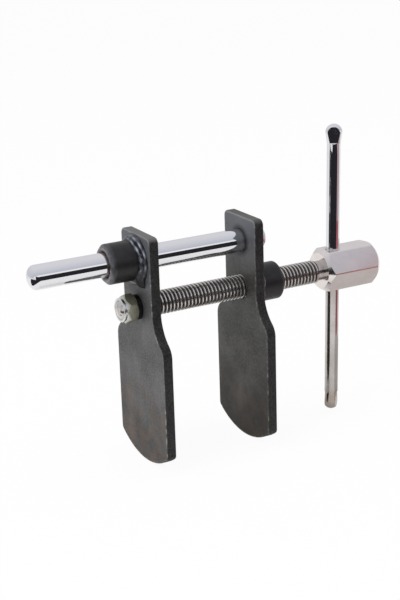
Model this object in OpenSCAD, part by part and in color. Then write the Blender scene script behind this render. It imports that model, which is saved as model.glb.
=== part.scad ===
// Brake caliper piston tool: two pressing plates spread by a lead screw along a guide rod.
// Millimetres. The origin is the centre of the fixed plate's pressing pad, on its outer face.
// +X runs along the screw towards the hex head, +Z runs up the plates.

/* [Plates] */
// Thickness of both plates
plate_t = 5; // [3:0.5:8]
// Width of the pressing pad
pad_w = 50; // [42:1:60]
// Height of the pad's straight sides
pad_h = 51; // [35:1:70]
// Width of the narrow neck above the pad
neck_w = 30; // [26:1:34]
// Height of the neck's straight sides
neck_h = 37; // [34:1:50]
// Radius of the hollow curve under the neck
shoulder_in_r = 19; // [16:1:30]
// Radius of the round shoulder of the pad
shoulder_out_r = 8; // [5:1:12]
// Radius of the arc along the bottom edge
bottom_r = 41; // [36:1:80]
// Radius of the two bottom corners
bottom_corner_r = 3; // [1:0.5:6]
// Radius of the two top corners
top_corner_r = 3; // [1:0.5:6]
// Clear gap between the two plates as shown
jaw_gap = 53; // [25:1:70]

/* [Guide rod] */
// Diameter of the rod
rod_d = 12; // [9:0.5:14]
// Length of the rod from tip to tip
rod_l = 128; // [115:1:160]
// Length of rod that stands out beyond the fixed plate
rod_tail = 9; // [7:0.5:14]
// Radius that rounds the edge of both ends
rod_end_r = 3.2; // [1:0.1:4]
// Height of plate above the rod's axis
rod_edge = 13; // [11:0.5:16]

/* [Guide collar] */
// Outside diameter of the collar
collar_d = 19.8; // [18:0.1:22]
// Length of the collar
collar_l = 17; // [12:0.5:25]
// Chamfer around the collar's free end
collar_chamfer = 1.5; // [0.5:0.1:2]
// Chamfer at the mouth of the collar's bore
collar_mouth = 1; // [0.2:0.1:1.5]

/* [Threaded boss] */
// Outside diameter of the boss
boss_d = 19.4; // [17:0.1:22]
// Length of the boss
boss_l = 15.3; // [10:0.1:20]
// Chamfer around the boss's free end
boss_chamfer = 0.6; // [0.2:0.1:1.5]

/* [Lead screw] */
// Distance from the rod's axis down to the screw's axis
axis_gap = 24; // [22.5:0.5:30]
// Outside diameter of the thread
screw_d = 12; // [10.5:0.5:14]
// Length of the threaded part
thread_l = 97.5; // [90:0.5:130]
// Diameter of the neck and of the spigot in the head
neck_d = 10.3; // [9:0.1:10.4]
// Length of the neck between thread and head
neck_l = 2.7; // [1:0.1:8]
// Length of the spigot inside the head
spigot_l = 20; // [15:0.5:28]
// Diameter of the journal that turns in the sliding plate
journal_d = 8; // [6:0.5:9]
// Chamfer at both ends of the thread
thread_chamfer = 1; // [0.2:0.1:1.5]
// Distance from one ridge of the thread to the next
thread_pitch = 2; // [1.5:0.25:3]
// Depth of the groove between two ridges
thread_depth = 1; // [0.5:0.1:1.2]
// Width of a ridge along its crest
thread_crest = 0.5; // [0.2:0.1:1]

/* [Hex head] */
// Size across the flats
head_af = 21; // [18:0.5:24]
// Length of the head
head_l = 32; // [30:0.5:45]
// Diameter of the turned end faces
head_face_d = 18.4; // [14:0.1:20]
// Distance from the neck's end of the head to the cross hole
cross_hole_x = 8.5; // [8:0.5:14]
// Countersink depth at both mouths of the cross hole
cross_hole_sink = 0.5; // [0.2:0.1:1]

/* [Tommy bar] */
// Diameter of the bar
bar_d = 7; // [5:0.5:8]
// Length of the bar
bar_l = 155; // [110:1:200]
// Length of each pinched end
pinch_l = 10; // [7:0.5:14]
// Width of a pinched end at the foot of its domed tip
pinch_w = 8.6; // [8:0.1:10]
// Thickness of a pinched end at its tip
pinch_t = 5.8; // [3:0.1:6]
// Depth of the step where a pinch begins
pinch_step = 0.6; // [0.3:0.1:1]
// Length of the slope where a pinch begins
pinch_ramp = 0.8; // [0.4:0.1:1.5]
// Turn of the bar about its own axis, in degrees
bar_turn = 35; // [0:5:90]
// Turn of the lower pinched end from the upper one, in degrees
pinch_twist = 80; // [0:5:90]
// Lean of the bar in its loose hole, in degrees
bar_lean = 0.7; // [0:0.1:1]
// Distance that the bar has slipped down from its middle
bar_drop = 1.4; // [0:0.1:20]

/* [Lock nut] */
// Size across the flats of the nut
nut_af = 14; // [13:0.5:17]
// Length of the nut's hexagon
nut_hex_l = 4.8; // [4:0.1:8]
// Outside diameter of the rolled rim
rim_d = 13; // [12.2:0.1:13.5]
// Length of the rolled rim
rim_l = 2.8; // [2.4:0.1:4]
// Rounding of the rolled rim
rim_r = 0.9; // [0.3:0.1:1]
// Outside diameter of the ring inside the rim
insert_d = 11; // [10.2:0.1:11.4]
// Length of the ring inside the rim
insert_l = 2.2; // [1.5:0.1:2.3]
// Depth of the screw's tip behind the rim's front
tip_sink = 0.8; // [0.2:0.1:1.2]
// Outside diameter of the washer
washer_d = 12.4; // [11:0.1:16]
// Thickness of the washer
washer_t = 2.6; // [1:0.1:4]

/* [Welds] */
// Radius of one lump of a weld bead
weld_lump_r = 2.6; // [2:0.1:3]
// Reach of a bead along the piece that stands on the plate
weld_along = 4; // [3:0.1:5]
// Reach of a bead across the plate
weld_out = 2.8; // [2:0.1:3.5]
// Spacing of the lumps around a bead
weld_pitch = 3.3; // [2.5:0.1:4]

/* [Fits] */
// Radial clearance of the rod in its collar, the screw in its boss and the journal in its plate
run_gap = 0.05; // [0.02:0.01:0.1]
// Radial clearance of the rod and the screw where they pass through a plate
pass_gap = 0.25; // [0.1:0.05:0.4]
// Radial clearance of the tommy bar in the cross hole
bar_gap = 0.25; // [0.1:0.05:0.4]
// End play of the screw in the sliding plate, on each side
end_gap = 0.1; // [0.05:0.01:0.2]
// Radial clearance of the washer on the journal
washer_gap = 0.2; // [0.1:0.05:0.4]

/* [Hidden] */
$fn = 96;
hex_fn = 6;

// The shoulder is two arcs that meet on one tangent
shoulder_run = (pad_w - neck_w) / 2;
shoulder_sum = shoulder_in_r + shoulder_out_r;
shoulder_a = acos(1 - shoulder_run / shoulder_sum);
shoulder_h = shoulder_sum * sin(shoulder_a);
pad_top = pad_h / 2;
neck_base = pad_top + shoulder_h;
plate_top = neck_base + neck_h;
shoulder_x = pad_w / 2 - shoulder_out_r;
tangent_x = shoulder_x + shoulder_out_r * cos(shoulder_a);
tangent_z = pad_top + shoulder_out_r * sin(shoulder_a);

// The bottom arc meets the straight sides at the foot of the pad, and its corners are rounded
bottom_z = sqrt(pow(bottom_r, 2) - pow(pad_w / 2, 2)) - pad_top;
corner_x = pad_w / 2 - bottom_corner_r;
corner_drop = sqrt(pow(bottom_r - bottom_corner_r, 2) - pow(corner_x, 2));
corner_z = bottom_z - corner_drop;
corner_a = atan2(corner_drop, corner_x);
foot_x = corner_x * bottom_r / (bottom_r - bottom_corner_r);
foot_z = bottom_z - corner_drop * bottom_r / (bottom_r - bottom_corner_r);

// Heights of the two axes
rod_z = plate_top - rod_edge;
screw_z = rod_z - axis_gap;

// Stations along X, from the fixed plate's outer face
fixed_in_x = -plate_t;
slide_in_x = fixed_in_x - jaw_gap;
slide_out_x = slide_in_x - plate_t;
rod_right_x = rod_tail;
rod_left_x = rod_tail - rod_l;
thread_x = slide_in_x + end_gap;
neck_x = thread_x + thread_l;
head_x = neck_x + neck_l;
bar_x = head_x + cross_hole_x;
washer_x = slide_out_x - end_gap - washer_t;
nut_x = washer_x - nut_hex_l;
rim_x = nut_x - rim_l;
journal_x = rim_x + tip_sink;
insert_x = nut_x - insert_l;

// Radii of the fits
rod_run_r = rod_d / 2 + run_gap;
screw_run_r = screw_d / 2 + run_gap;
journal_run_r = journal_d / 2 + run_gap;
cross_hole_r = bar_d / 2 + bar_gap;
pinch_start_y = bar_d / 2 - pinch_step;

// Half of the plate's straight-sided core, from the top edge down to the foot of the bottom arc
core_half = [[neck_w / 2 - top_corner_r, plate_top],
             [neck_w / 2, plate_top - top_corner_r],
             [neck_w / 2, neck_base],
             [tangent_x, tangent_z],
             [pad_w / 2, pad_top],
             [pad_w / 2, corner_z],
             [foot_x, foot_z]];

// Length by which a cutting shape runs past the face that it cuts
over = 1;

// Places a shape drawn along +Z so that it runs along +X from a station on an axis
module along_x(x, z) {
    translate([x, 0, z])
        rotate([0, 90, 0])
            children();
}

// A slice of a disc between two angles
module sector(r, from, to) {
    intersection() {
        circle(r);
        polygon([[0, 0], 2 * r * [cos(from), sin(from)], 2 * r * [cos(to), sin(to)]]);
    }
}

// The outline of a plate: the core, hollowed under the neck, with all its round corners put on
module plate_outline() {
    core_last = len(core_half) - 1;
    difference() {
        polygon([for (p = core_half) [-p.x, p.y],
                 for (i = [core_last : -1 : 0]) core_half[i]]);
        for (side = [0, 1])
            mirror([side, 0])
                translate([neck_w / 2 + shoulder_in_r, neck_base])
                    sector(shoulder_in_r, 180, 180 + shoulder_a);
    }
    for (side = [0, 1])
        mirror([side, 0]) {
            translate([neck_w / 2 - top_corner_r, plate_top - top_corner_r])
                sector(top_corner_r, 0, 90);
            translate([shoulder_x, pad_top])
                sector(shoulder_out_r, 0, shoulder_a);
            translate([corner_x, corner_z])
                sector(bottom_corner_r, -corner_a, 0);
        }
    translate([0, bottom_z])
        sector(bottom_r, -180 + corner_a, -corner_a);
}

// A plate from its inner to its outer face, with a hole for the rod and one for the screw
module plate(x, rod_hole_r, screw_hole_r) {
    difference() {
        translate([x, 0, 0])
            rotate([90, 0, 90])
                linear_extrude(plate_t)
                    plate_outline();
        along_x(x - over, rod_z)
            cylinder(h = plate_t + 2 * over, r = rod_hole_r);
        along_x(x - over, screw_z)
            cylinder(h = plate_t + 2 * over, r = screw_hole_r);
    }
}

// A fillet weld of overlapping lumps around a round piece that stands up from a plate at height 0
module weld_bead(d) {
    ring_r = d / 2 + weld_out - weld_lump_r;
    lumps = round(360 / (2 * asin(weld_pitch / 2 / ring_r)));
    difference() {
        for (i = [0 : lumps - 1])
            rotate(i * 360 / lumps)
                translate([ring_r, 0, weld_along - weld_lump_r])
                    sphere(weld_lump_r);
        translate([0, 0, -over])
            cylinder(h = weld_along + 2 * over, r = d / 2);
        translate([0, 0, -weld_lump_r])
            cylinder(h = weld_lump_r, r = d / 2 + weld_out + over);
    }
}

// A hex bar blank along +Z, turned to a chamfer at 45 degrees from each end face outwards
module hex_blank(af, l, face_near_d, face_far_d) {
    intersection() {
        cylinder(h = l, r = af / sqrt(3), $fn = hex_fn);
        cylinder(h = l, r1 = face_near_d / 2, r2 = face_near_d / 2 + l);
        cylinder(h = l, r1 = face_far_d / 2 + l, r2 = face_far_d / 2);
    }
}

module fixed_plate() {
    color("#3c3c3e")
        plate(fixed_in_x, rod_d / 2, screw_d / 2 + pass_gap);
}

module threaded_boss() {
    color("#2c2c2e")
        along_x(0, screw_z)
            difference() {
                union() {
                    cylinder(h = boss_l - boss_chamfer, d = boss_d);
                    translate([0, 0, boss_l - boss_chamfer])
                        cylinder(h = boss_chamfer, d1 = boss_d, d2 = boss_d - 2 * boss_chamfer);
                }
                translate([0, 0, -over])
                    cylinder(h = boss_l + 2 * over, r = screw_run_r);
            }
}

module boss_weld() {
    color("#4a4a4c")
        along_x(0, screw_z)
            weld_bead(boss_d);
}

// A round bar with both edges rounded, drawn as half its section
module guide_rod() {
    color("#d9dadc")
        along_x(rod_left_x, rod_z)
            rotate_extrude()
                union() {
                    translate([0, rod_end_r])
                        square([rod_d / 2, rod_l - 2 * rod_end_r]);
                    square([rod_d / 2 - rod_end_r, rod_l]);
                    for (end = [rod_end_r, rod_l - rod_end_r])
                        translate([rod_d / 2 - rod_end_r, end])
                            intersection() {
                                circle(rod_end_r);
                                translate([0, -rod_end_r])
                                    square([rod_end_r, 2 * rod_end_r]);
                            }
                }
}

module rod_weld() {
    color("#4a4a4c")
        along_x(0, rod_z)
            weld_bead(rod_d);
}

module sliding_plate() {
    color("#646260")
        plate(slide_out_x, rod_d / 2 + pass_gap, journal_run_r);
}

module guide_collar() {
    color("#2c2c2e")
        along_x(slide_out_x - collar_l, rod_z)
            difference() {
                union() {
                    cylinder(h = collar_chamfer, d1 = collar_d - 2 * collar_chamfer, d2 = collar_d);
                    translate([0, 0, collar_chamfer])
                        cylinder(h = collar_l - collar_chamfer, d = collar_d);
                }
                translate([0, 0, -over])
                    cylinder(h = collar_l + 2 * over, r = rod_run_r);
                translate([0, 0, -over])
                    cylinder(h = collar_mouth + over, r1 = rod_run_r + collar_mouth + over, r2 = rod_run_r);
            }
}

module collar_weld() {
    color("#58585c")
        along_x(slide_out_x, rod_z)
            mirror([0, 0, 1])
                weld_bead(collar_d);
}

// Half the screw's section from the journal's tip; the thread's ridges stand one pitch apart, without a lead
module screw_section() {
    screw_r = screw_d / 2;
    neck_r = neck_d / 2;
    start = thread_x - journal_x;
    end = start + thread_l;
    grooves = floor((thread_l - 2 * thread_chamfer) / thread_pitch);
    first_groove = start + (thread_l - (grooves - 1) * thread_pitch) / 2;
    groove_half = (thread_pitch - thread_crest) / 2;
    groove = [[screw_r, -groove_half], [screw_r - thread_depth, 0], [screw_r, groove_half]];
    polygon([[0, 0], [journal_d / 2, 0], [journal_d / 2, start],
             [screw_r - thread_chamfer, start], [screw_r, start + thread_chamfer],
             for (i = [0 : grooves - 1], p = groove) p + [0, first_groove + i * thread_pitch],
             [screw_r, end - thread_chamfer], [neck_r, end - thread_chamfer + screw_r - neck_r],
             [neck_r, end + neck_l + spigot_l], [0, end + neck_l + spigot_l]]);
}

module lead_screw() {
    color("#a9a6a3")
        difference() {
            along_x(journal_x, screw_z)
                rotate_extrude()
                    screw_section();
            translate([bar_x, 0, screw_z - screw_d])
                cylinder(h = 2 * screw_d, r = cross_hole_r);
        }
}

module thrust_washer() {
    color("#38383a")
        along_x(washer_x, screw_z)
            difference() {
                cylinder(h = washer_t, d = washer_d);
                translate([0, 0, -over])
                    cylinder(h = washer_t + 2 * over, r = journal_d / 2 + washer_gap);
            }
}

// Half the section of the nut's rolled rim, from its rounded front lip to the hexagon
module rim_section() {
    translate([0, rim_r])
        square([rim_d / 2, rim_l - rim_r]);
    square([rim_d / 2 - rim_r, rim_l]);
    translate([rim_d / 2 - rim_r, rim_r])
        circle(rim_r);
}

module lock_nut() {
    color("#9b9a86")
        difference() {
            union() {
                along_x(nut_x, screw_z)
                    hex_blank(nut_af, nut_hex_l, rim_d, nut_af);
                along_x(rim_x, screw_z)
                    rotate_extrude()
                        rim_section();
            }
            along_x(rim_x - over, screw_z)
                cylinder(h = rim_l + nut_hex_l + 2 * over, d = journal_d);
            along_x(rim_x - over, screw_z)
                cylinder(h = rim_l + over, d = insert_d);
        }
}

module nut_insert() {
    color("#d8dce0")
        along_x(insert_x, screw_z)
            difference() {
                cylinder(h = insert_l, d = insert_d);
                translate([0, 0, -over])
                    cylinder(h = insert_l + 2 * over, d = journal_d);
            }
}

module hex_head() {
    color("#c4c2c4")
        difference() {
            along_x(head_x, screw_z)
                rotate(180 / hex_fn)
                    hex_blank(head_af, head_l, head_face_d, head_face_d);
            along_x(head_x - over, screw_z)
                cylinder(h = spigot_l + over, d = neck_d);
            translate([bar_x, 0, screw_z - head_af])
                cylinder(h = 2 * head_af, r = cross_hole_r);
            for (side = [-1, 1])
                translate([bar_x, 0, screw_z])
                    mirror([0, 0, side < 0 ? 1 : 0])
                        translate([0, 0, head_af / 2 - cross_hole_sink])
                            cylinder(h = cross_hole_sink + over, r1 = cross_hole_r,
                                     r2 = cross_hole_r + cross_hole_sink + over);
        }
}

// What the press takes off one side of a bar end: a slope down to the flat, then the flat past the tip
module pinch_cut() {
    past_tip = 2 * pinch_l;
    past_tip_y = pinch_start_y + (pinch_t / 2 - pinch_start_y) * past_tip / pinch_l;
    rotate([90, 0, 90])
        linear_extrude(2 * pinch_w, center = true)
            polygon([[pinch_start_y, pinch_ramp], [bar_d / 2 + pinch_step / 6, pinch_ramp / 8],
                     [pinch_w, pinch_ramp / 8], [pinch_w, past_tip], [past_tip_y, past_tip]]);
}

// Half of the bar's turned section, from its middle: the shank, the flare and the domed tip
module bar_half_section() {
    dome_r = pinch_w / 2;
    dome_z = bar_l / 2 - dome_r;
    polygon([[0, -bar_d], [bar_d / 2, -bar_d], [bar_d / 2, bar_l / 2 - pinch_l],
             [dome_r, dome_z], [0, dome_z]]);
    translate([0, dome_z])
        intersection() {
            circle(dome_r);
            square(dome_r);
        }
}

module tommy_bar() {
    color("#d9dadc")
        translate([bar_x, 0, screw_z])
            rotate([0, bar_lean, -bar_turn])
                translate([0, 0, -bar_drop])
                    difference() {
                        rotate_extrude()
                            union()
                                for (end = [0, 1])
                                    mirror([0, end])
                                        bar_half_section();
                        for (end = [0, 1])
                            mirror([0, 0, end])
                                for (side = [0, 180])
                                    translate([0, 0, bar_l / 2 - pinch_l])
                                        rotate(end * pinch_twist + side)
                                            pinch_cut();
                    }
}

fixed_plate();
threaded_boss();
boss_weld();
guide_rod();
rod_weld();
sliding_plate();
guide_collar();
collar_weld();
lead_screw();
thrust_washer();
lock_nut();
nut_insert();
hex_head();
tommy_bar();
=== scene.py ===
from math import acos, asin, atan, atan2, cos, hypot, pi, radians, sin, sqrt, tan

import bpy
import numpy as np
from bpy.props import FloatProperty, FloatVectorProperty, PointerProperty
from bpy.types import Operator, Panel, PropertyGroup
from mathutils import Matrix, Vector
from mathutils.geometry import tessellate_polygon


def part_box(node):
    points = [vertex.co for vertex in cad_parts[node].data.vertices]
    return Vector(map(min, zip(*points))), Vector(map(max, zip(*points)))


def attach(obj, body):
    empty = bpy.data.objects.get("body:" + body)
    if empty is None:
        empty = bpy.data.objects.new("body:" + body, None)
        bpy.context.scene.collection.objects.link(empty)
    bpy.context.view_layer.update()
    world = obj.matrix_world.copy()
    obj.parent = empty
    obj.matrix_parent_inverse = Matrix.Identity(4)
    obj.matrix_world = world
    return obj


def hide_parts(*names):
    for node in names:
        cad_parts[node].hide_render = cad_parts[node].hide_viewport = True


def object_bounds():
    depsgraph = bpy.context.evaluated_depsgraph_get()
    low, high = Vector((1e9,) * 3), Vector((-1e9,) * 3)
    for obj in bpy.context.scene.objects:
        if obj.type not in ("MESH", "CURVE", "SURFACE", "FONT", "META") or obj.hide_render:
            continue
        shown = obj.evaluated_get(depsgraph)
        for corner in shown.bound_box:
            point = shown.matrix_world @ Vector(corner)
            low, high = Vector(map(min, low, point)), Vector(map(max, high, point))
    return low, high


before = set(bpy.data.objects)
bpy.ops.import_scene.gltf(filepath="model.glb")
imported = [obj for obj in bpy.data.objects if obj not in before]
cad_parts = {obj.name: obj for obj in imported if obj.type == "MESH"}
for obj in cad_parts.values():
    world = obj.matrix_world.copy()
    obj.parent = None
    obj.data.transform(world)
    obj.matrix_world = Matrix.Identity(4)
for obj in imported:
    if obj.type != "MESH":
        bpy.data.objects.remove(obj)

bl_info = {
    "name": "Brake caliper piston tool",
    "version": (1, 0, 0),
    "blender": (4, 5, 0),
    "location": "3D View > Sidebar > Piston tool",
    "description": "Dresses the packed piston tool: plates, rod, screw, nut, head, bar and studio",
    "category": "Object",
}

MM = 0.001
CAD_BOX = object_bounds()
LOW = {name: np.array(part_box(name)[0]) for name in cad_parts}
HIGH = {name: np.array(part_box(name)[1]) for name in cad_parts}
ROD_Z = (LOW["guide_rod"][2] + HIGH["guide_rod"][2]) / 2
SCREW_Z = (LOW["lead_screw"][2] + HIGH["lead_screw"][2]) / 2
FLOOR_Z = CAD_BOX[0][2] - 0.2 * MM
WHITE = (1.0, 1.0, 1.0, 1.0)
BREAK_EDGE = 0.1 * MM
# Share of a dome's radius that its arc gets, so that the arc's ends stay clear of the pole and the next arc
DOME_SHARE = 0.97


def half_across(node_name, axis=2):
    """Half the size of a CAD node along one axis (0, 1 or 2), in metres: the radius of a round one."""
    return float(HIGH[node_name][axis] - LOW[node_name][axis]) / 2


def ends_of(node_name):
    """Where a CAD node starts and ends along X."""
    return LOW[node_name][0], HIGH[node_name][0]


def linear(code):
    """An sRGB colour written as #rrggbb, as linear red, green and blue."""
    part = np.array([int(code[i:i + 2], 16) for i in (1, 3, 5)]) / 255
    return tuple(np.where(part <= 0.04045, part / 12.92, ((part + 0.055) / 1.055) ** 2.4))


def length(name, description, default):
    """A property for a length in metres."""
    return FloatProperty(name=name, description=description, default=default, min=0.0, precision=5,
                         unit="LENGTH")


def angle(name, description, degrees):
    """A property for an angle, given in degrees."""
    return FloatProperty(name=name, description=description, default=radians(degrees), subtype="ANGLE")


def colour(name, description, code):
    """A property for a colour written as #rrggbb."""
    return FloatVectorProperty(name=name, description=description, subtype="COLOR", min=0.0, max=1.0,
                               default=linear(code))


class PlateSettings(PropertyGroup):
    """Outline and edges of the two pressing plates."""
    neck_width: length("Neck width", "Width of the narrow upper part", 30 * MM)
    neck_height: length("Neck height", "Height of the neck's straight sides", 37 * MM)
    pad_height: length("Pad height", "Height of the pad's straight sides", 51 * MM)
    hollow_radius: length("Hollow radius", "Radius of the hollow curve under the neck", 19 * MM)
    shoulder_radius: length("Shoulder radius", "Radius of the pad's round shoulder", 8 * MM)
    bottom_radius: length("Bottom radius", "Radius of the arc along the bottom edge", 41 * MM)
    corner_radius: length("Corner radius", "Radius of the top and bottom corners", 3 * MM)
    edge_radius: length("Edge rounding", "Rounding of the blanked edge", 0.55 * MM)
    wear_width: length("Worn border", "Width of the rubbed border beside the edge", 1.6 * MM)
    hole_gap: length("Hole clearance", "Clearance around the rod and the screw", 0.25 * MM)
    hole_chamfer: length("Hole chamfer", "Chamfer at the mouths of the holes", 0.15 * MM)
    # The two plates are one phosphated steel: the fixed plate's darker grey is painted shade, the shade that
    # the sliding plate throws on it.
    sliding_face_lit: colour("Sliding plate", "Phosphate grey of the sliding plate", "#535354")
    fixed_face_shaded: colour("Fixed plate", "Phosphate grey of the fixed plate", "#403f3d")
    # The cut edge is painted near-black as shade, for an edge that faces away from the light.
    wall: colour("Plate edge", "Dark scale on the cut edge", "#211f1f")
    # Light along the line where face and edge meet: partly steel rubbed bare, partly a painted highlight on
    # the rounded edge.
    worn: colour("Worn edge", "Steel that shows through along the rubbed edge", "#a8a5a0")
    rust: colour("Rust tint", "Thin brown bloom low on the plates", "#6e5846")
    # Makes the plates darker and warmer towards the bottom.
    bottom_darkening: colour("Grime", "Warm dirt that darkens the bottoms of the plates", "#2a241d")
    # Paler, bluer grey that the plates take towards the top of the necks.
    paler_top: colour("Upper necks", "Thinner, paler phosphate on the upper necks", "#66696f")
    temper: colour("Temper tint", "Blue-grey heat tint round the weld", "#3c4048")


class TurnedSettings(PropertyGroup):
    """The blackened collar and boss, the welds and the chrome rod."""
    collar_chamfer: length("Collar chamfer", "Chamfer at the collar's free end", 1.5 * MM)
    collar_mouth: length("Collar mouth", "Chamfer at the collar's bore", 1.0 * MM)
    boss_chamfer: length("Boss chamfer", "Chamfer at the boss's free end", 0.6 * MM)
    rod_dome: length("Rod dome", "Radius of the rod's domed ends", 8.0 * MM)
    rod_end_radius: length("Rod end radius", "Rounding between the rod's side and its domed ends", 3.4 * MM)
    run_gap: length("Running clearance", "Clearance of rod and screw in their bores", 0.05 * MM)
    weld_along: length("Weld leg along", "Reach of a bead along the collar", 3.9 * MM)
    weld_out: length("Weld leg out", "Reach of a bead across the plate", 2.7 * MM)
    weld_slit: length("Weld slit", "Depth of the slit between the two runs of a bead", 0.8 * MM)
    weld_lump: length("Weld lumps", "Height of the lumps along a bead", 0.22 * MM)
    drip: length("Weld drip", "Reach of the drip at the collar's bead", 2.6 * MM)
    drip_at: angle("Drip place", "Angle round the collar where the drip hangs", 236)
    slit_at: angle("Slit place", "Angle round the collar where the slit is deepest", 138)
    black: colour("Blackened steel", "Black oxide on turned steel", "#343233")
    # Light grey on the chamfers: partly oxide rubbed thin, partly a painted highlight ring round the collar's
    # bore.
    rubbed: colour("Rubbed chamfer", "Black oxide rubbed thin on the chamfers", "#95979d")
    browned: colour("Browned bore", "Rust-brown film at the bore's mouth", "#5d4638")
    bead: colour("Weld bead", "Blue-grey temper colour of the beads", "#565a63")
    # Painted highlights along the ridges of the collar's bead.
    gleam: colour("Weld streaks", "Brushed ridges of the collar's bead", "#c3c8d0")
    chrome: colour("Chrome plate", "Polished chrome on the rod and the bar", "#e6e6e9")
    # Darker chrome on the bar's lower half: partly dulled, partly painted shade in its reflection.
    shaded_chrome: colour("Dulled chrome", "Chrome dulled by handling on the bar's lower half", "#b9b3ae")
    soiled: colour("Soiled chrome", "Brown film on the bar's lowest end", "#9a8674")


class ScrewSettings(PropertyGroup):
    """The lead screw, its washer and its lock nut."""
    pitch: length("Pitch", "Travel of the screw in one turn", 2.0 * MM)
    depth: length("Thread depth", "Height of a thread from root to crest", 1.05 * MM)
    chamfer: length("Thread chamfer", "Chamfer at both ends of the thread", 1.0 * MM)
    thread_length: length("Thread length", "Length of the threaded part", 97.5 * MM)
    neck_diameter: length("Neck diameter", "Diameter of the neck before the head", 10.3 * MM)
    neck_length: length("Neck length", "Length of the neck before the head", 2.7 * MM)
    journal_diameter: length("Journal diameter", "Diameter of the journal in the sliding plate", 8.0 * MM)
    nut_flats: length("Nut flats", "Width of the nut across its flats", 13.2 * MM)
    rim_diameter: length("Rim diameter", "Outside diameter of the nut's rolled rim", 12.0 * MM)
    rim_length: length("Rim length", "Length of the nut's rolled rim", 1.9 * MM)
    rim_fold: length("Rim fold", "How far the lip is rolled back from the rim's end", 0.3 * MM)
    lip_radius: length("Lip radius", "Radius of the rim's curled lip", 0.6 * MM)
    tip_proud: length("Tip height", "How far the screw's peened tip stands out of the nut's rim", 1.5 * MM)
    tip_radius: length("Tip radius", "Radius of the screw's peened tip at its foot", 4.6 * MM)
    washer_gap: length("Washer clearance", "Clearance of the washer on the journal", 0.2 * MM)
    crest: colour("Thread crest", "Burnished steel of the rolled crests", "#d0cbc7")
    root: colour("Thread root", "Oil and dirt in the roots", "#241f1d")
    zinc: colour("Zinc plate", "Olive zinc plate on the nut's hexagon", "#8d8a74")
    rim: colour("Rolled rim", "Bright zinc on the nut's rolled rim", "#dededa")
    washer: colour("Washer", "Black oxide on the washer", "#1b1b1c")
    nylon: colour("Nylon ring", "Natural nylon of the locking ring", "#c9cdce")


class DriveSettings(PropertyGroup):
    """The hex head and the tommy bar."""
    face_diameter: length("End face", "Diameter of the head's turned end faces", 18.4 * MM)
    corner_radius: length("Corner rounding", "Rounding of the hexagon's six corners", 1.1 * MM)
    hole_station: length("Hole station", "Distance of the cross hole from the neck's end", 8.5 * MM)
    hole_diameter: length("Cross hole", "Diameter of the cross hole", 7.5 * MM)
    hole_sink: length("Countersink", "Depth of the countersink at the hole's mouths", 0.5 * MM)
    bar_diameter: length("Bar diameter", "Diameter of the tommy bar", 7.0 * MM)
    bar_length: length("Bar length", "Length of the tommy bar", 155.0 * MM)
    bar_drop: length("Bar drop", "Distance that the bar has slipped down", 1.4 * MM)
    bar_lean: angle("Bar lean", "Lean of the bar in its loose hole", 0.7)
    bar_turn: angle("Bar turn", "Turn of the bar about its own axis", -35)
    pinch_length: length("Pinch length", "Length of each pinched end", 10.0 * MM)
    pinch_width: length("Pinch width", "Width of a pinched end at its dome", 8.6 * MM)
    pinch_thickness: length("Pinch thickness", "Thickness of a pinched end at its tip", 5.8 * MM)
    pinch_step: length("Pinch step", "Depth of the step where a pinch begins", 0.6 * MM)
    pinch_twist: angle("Pinch twist", "Turn of the lower pinched end from the upper one", 80)
    nickel: colour("Satin nickel", "Satin nickel plate on the drawn hexagon", "#e5dedb")


class StageSettings(PropertyGroup):
    """Camera, studio light and floor."""
    camera_place: FloatVectorProperty(name="Camera place", description="Where the camera stands",
                                      default=(-0.340979, -0.574232, 0.256167), subtype="XYZ", unit="LENGTH")
    camera_turn: FloatVectorProperty(name="Camera turn", description="Turn of the camera about X, Y and Z",
                                     default=(radians(71.968), radians(1.792), radians(-29.129)),
                                     subtype="EULER")
    lens: FloatProperty(name="Lens", description="Focal length on a 36 mm high image", default=82.908,
                        unit="CAMERA")
    sky: FloatProperty(name="Sky strength", description="Light from the brightest part of the sky",
                       default=0.75, min=0.0)
    key: FloatProperty(name="Key power", description="Power of the large soft lamp", default=4.0,
                       unit="POWER")
    fill: FloatProperty(name="Fill power", description="Power of the lamp on the right", default=1.6,
                        unit="POWER")
    floor: colour("Floor", "Pale floor and backdrop", "#ffffff")
    zenith: colour("Sky above", "Pale grey that mirrors see overhead and behind", "#e6e6e9")
    haze: colour("Sky in front", "Darker grey that mirrors see low in front", "#c6cad6")
    dark: colour("Dark cards", "Cards that blacken the mirrors", "#29282c")
    warm: colour("Warm card", "Card that warms the mirrors' right side", "#b2676e")
    pale: colour("Pale card", "Paler card above the warm one", "#b89fa2")
    patch: colour("Grey patch", "Patch on the floor that greys the head's underside", "#c8c4c3")


class PistonToolSettings(PropertyGroup):
    """All settings of the piston tool."""
    plate: PointerProperty(type=PlateSettings)
    turned: PointerProperty(type=TurnedSettings)
    screw: PointerProperty(type=ScrewSettings)
    drive: PointerProperty(type=DriveSettings)
    stage: PointerProperty(type=StageSettings)


def settings():
    """The settings that live on the scene."""
    return bpy.context.scene.piston_tool


def circle_of(count):
    """Angles that go once round, without the last one."""
    return np.linspace(0, 2 * pi, count, endpoint=False)


def about_x(x, r, around, axis_z):
    """A grid of the points (x, r cos a, axis_z + r sin a), where a goes round the line along X at axis_z."""
    x, r, around = np.broadcast_arrays(x, r, around)
    return np.stack([x, r * np.cos(around), axis_z + r * np.sin(around)], -1)


def grid_faces(rows, columns, close_rows=False):
    """Quads of a grid of rows by columns whose columns close; the rows close too if asked."""
    i, j = np.meshgrid(np.arange(rows if close_rows else rows - 1), np.arange(columns), indexing="ij")
    below, beside = (i + 1) % rows, (j + 1) % columns
    return np.stack([i * columns + j, i * columns + beside, below * columns + beside, below * columns + j],
                    -1).reshape(-1, 4)


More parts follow.
